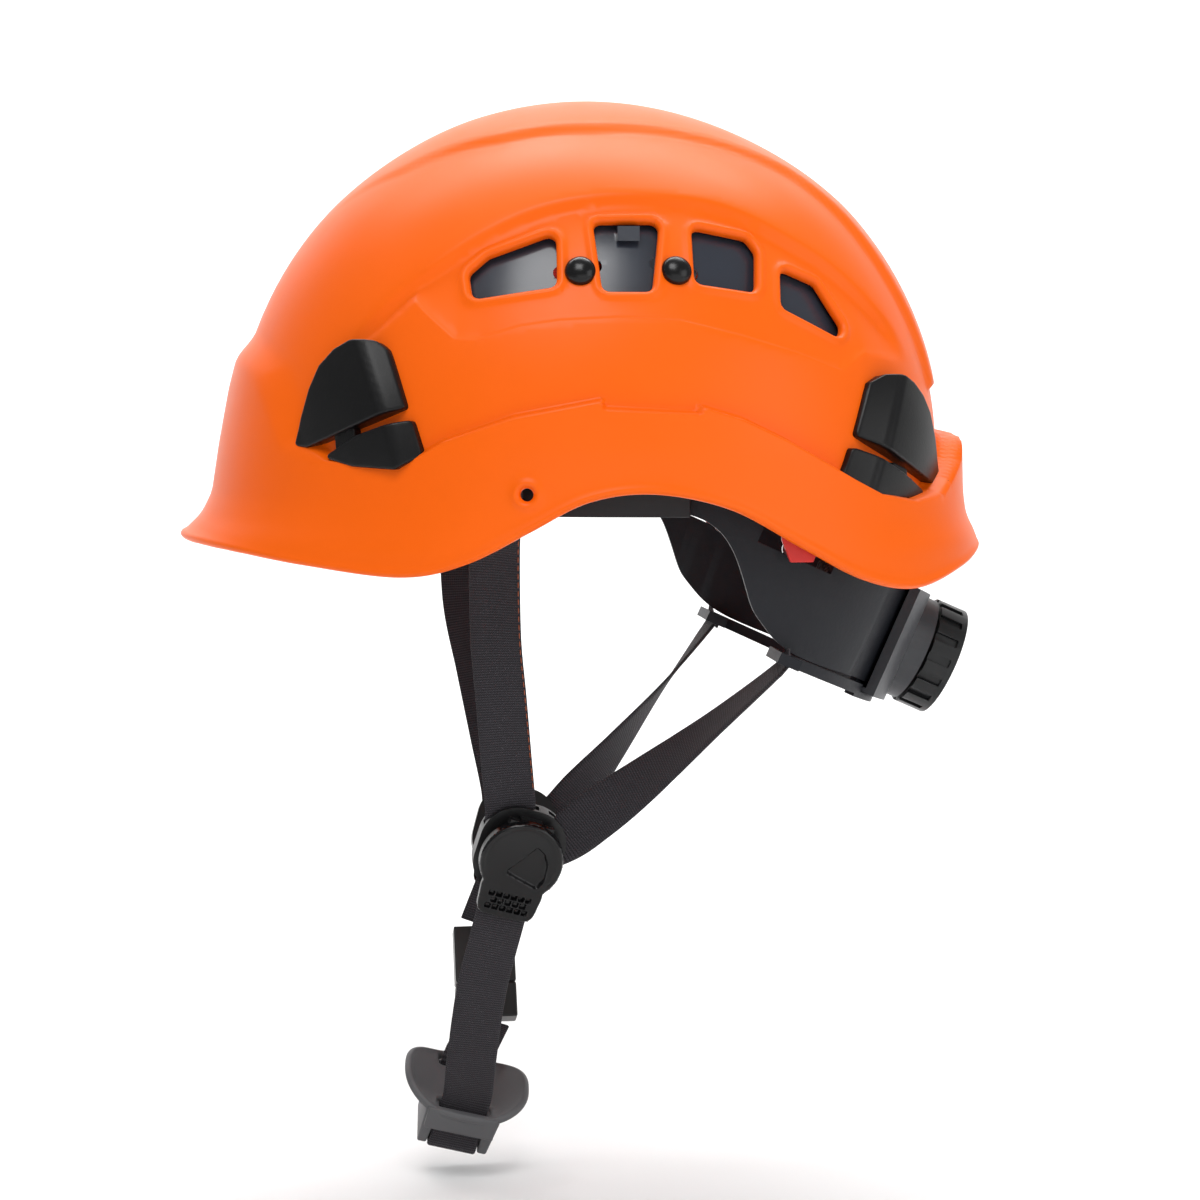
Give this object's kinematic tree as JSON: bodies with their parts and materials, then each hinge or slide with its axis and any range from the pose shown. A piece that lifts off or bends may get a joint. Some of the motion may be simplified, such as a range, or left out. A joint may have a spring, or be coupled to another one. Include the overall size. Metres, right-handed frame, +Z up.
{
  "type": "arborist helmet",
  "caption": "Vented climbing helmet with lamp clips, ratchet nape adjuster, crown webbing, cam strap dividers and a chin strap with buckle and chin cup.",
  "frame": {"origin": "centre of the headband opening, level with the top of the ears", "axes": "-X to the front, +X to the nape, -Y to the wearer's left, +Y to the wearer's right, +Z up"},
  "size_m": [0.2917, 0.224, 0.3906],
  "materials": {
    "shell_plastic": "semi-gloss injection moulded",
    "clip_plastic": "fine satin",
    "rivet_plastic": "polished dome",
    "shutter_plastic": "smooth",
    "band_plastic": "satin",
    "red_webbing": "woven polyester",
    "red_plastic": "satin",
    "pad_fabric": "brushed fabric over foam",
    "wing_plastic": "fine grain",
    "housing_plastic": "satin",
    "knob_plastic": "satin, ribbed rim",
    "pin_steel": "plain",
    "spring_steel": "plain",
    "webbing": "ribbed woven polyester",
    "lever_plastic": "polished",
    "buckle_plastic": "satin",
    "cup_rubber": "matt"
  },
  "bodies": {
    "helmet": {"outer_shell": "shell_plastic", "front_left_clip": "clip_plastic", "front_right_clip": "clip_plastic", "rear_left_clip": "clip_plastic", "rear_right_clip": "clip_plastic", "left_vent_rivets": "rivet_plastic", "left_hanger": "red_plastic", "left_tilt_pin": "red_plastic", "left_front_strap": "webbing", "left_strap_anchor": "band_plastic", "left_rear_strap": "webbing", "left_divider_base": "lever_plastic", "left_divider_pin": "pin_steel", "left_divider_lock_plate": "red_plastic", "front_left_anchor": "band_plastic", "rear_left_anchor": "band_plastic", "side_left_anchor": "band_plastic", "right_vent_rivets": "rivet_plastic", "right_hanger": "red_plastic", "right_tilt_pin": "red_plastic", "right_front_strap": "webbing", "right_strap_anchor": "band_plastic", "right_rear_strap": "webbing", "right_divider_base": "lever_plastic", "right_divider_pin": "pin_steel", "right_divider_lock_plate": "red_plastic", "front_right_anchor": "band_plastic", "rear_right_anchor": "band_plastic", "side_right_anchor": "band_plastic", "front_left_crown_strap": "red_webbing", "front_right_crown_strap": "red_webbing", "side_crown_strap": "red_webbing", "headband_front": "band_plastic", "sweat_pad": "pad_fabric", "crown_pad": "pad_fabric", "buckle_strap": "webbing", "buckle_socket": "buckle_plastic"},
    "nape": {"ratchet_housing": "housing_plastic", "ratchet_spring": "spring_steel", "nape_cradle": "wing_plastic", "nape_pad": "pad_fabric"},
    "knob": {"adjuster_knob": "knob_plastic", "pinion": "knob_plastic", "knob_screw": "pin_steel"},
    "left_wing": {"left_nape_wing": "wing_plastic"},
    "right_wing": {"right_nape_wing": "wing_plastic"},
    "left_shutter": {"left_vent_shutter": "shutter_plastic"},
    "right_shutter": {"right_vent_shutter": "shutter_plastic"},
    "left_lever": {"left_divider_lever": "lever_plastic"},
    "right_lever": {"right_divider_lever": "lever_plastic"},
    "chin": {"chin_strap": "webbing", "buckle_plug": "buckle_plastic"},
    "cup": {"chin_cup": "cup_rubber"}
  },
  "joints": [
    {"name": "nape_tilt", "type": "hinge", "parent": "helmet", "child": "nape", "pos_m": [0.0585, 0, -0.015], "axis": [0, 1, 0], "range_deg": [-6, 12], "deforming": ["left_rear_strap", "right_rear_strap"]},
    {"name": "knob_turn", "type": "hinge", "parent": "nape", "child": "knob", "pos_m": [0.11901, 0, -0.05851], "axis": [0.9135, 0, -0.4067], "range_deg": [-112, 112]},
    {"name": "left_wing_slide", "type": "hinge", "parent": "nape", "child": "left_wing", "pos_m": [0.038, 0, 0], "axis": [-0.4067, 0, -0.9135], "range_deg": [-8, 8]},
    {"name": "right_wing_slide", "type": "hinge", "parent": "nape", "child": "right_wing", "pos_m": [0.038, 0, 0], "axis": [0.4067, 0, 0.9135], "range_deg": [-8, 8]},
    {"name": "left_shutter_slide", "type": "hinge", "parent": "helmet", "child": "left_shutter", "pos_m": [-0.005, 0, 0.015], "axis": [0, 1, 0], "range_deg": [-5, 4]},
    {"name": "right_shutter_slide", "type": "hinge", "parent": "helmet", "child": "right_shutter", "pos_m": [-0.005, 0, 0.015], "axis": [0, 1, 0], "range_deg": [-5, 4]},
    {"name": "left_lever_flip", "type": "hinge", "parent": "helmet", "child": "left_lever", "pos_m": [-0.03124, -0.05452, -0.1135], "axis": [-0.9613, -0.0713, 0.2662], "range_deg": [0, 80]},
    {"name": "right_lever_flip", "type": "hinge", "parent": "helmet", "child": "right_lever", "pos_m": [-0.02424, 0.05452, -0.1215], "axis": [0.9613, -0.0713, -0.2662], "range_deg": [0, 80]},
    {"name": "chin_swing", "type": "hinge", "parent": "helmet", "child": "chin", "pos_m": [-0.0415, -0.0465, -0.1475], "axis": [-1, 0, 0], "range_deg": [0, 50]},
    {"name": "cup_slide", "type": "slide", "parent": "chin", "child": "cup", "axis": [0.0748, 0.9511, 0.2998], "range_m": [-0.005, 0.005]}
  ],
  "couplings": [
    {"joint": "left_wing_slide", "follows": "knob_turn", "ratio": 0.069767},
    {"joint": "right_wing_slide", "follows": "knob_turn", "ratio": 0.069767}
  ]
}
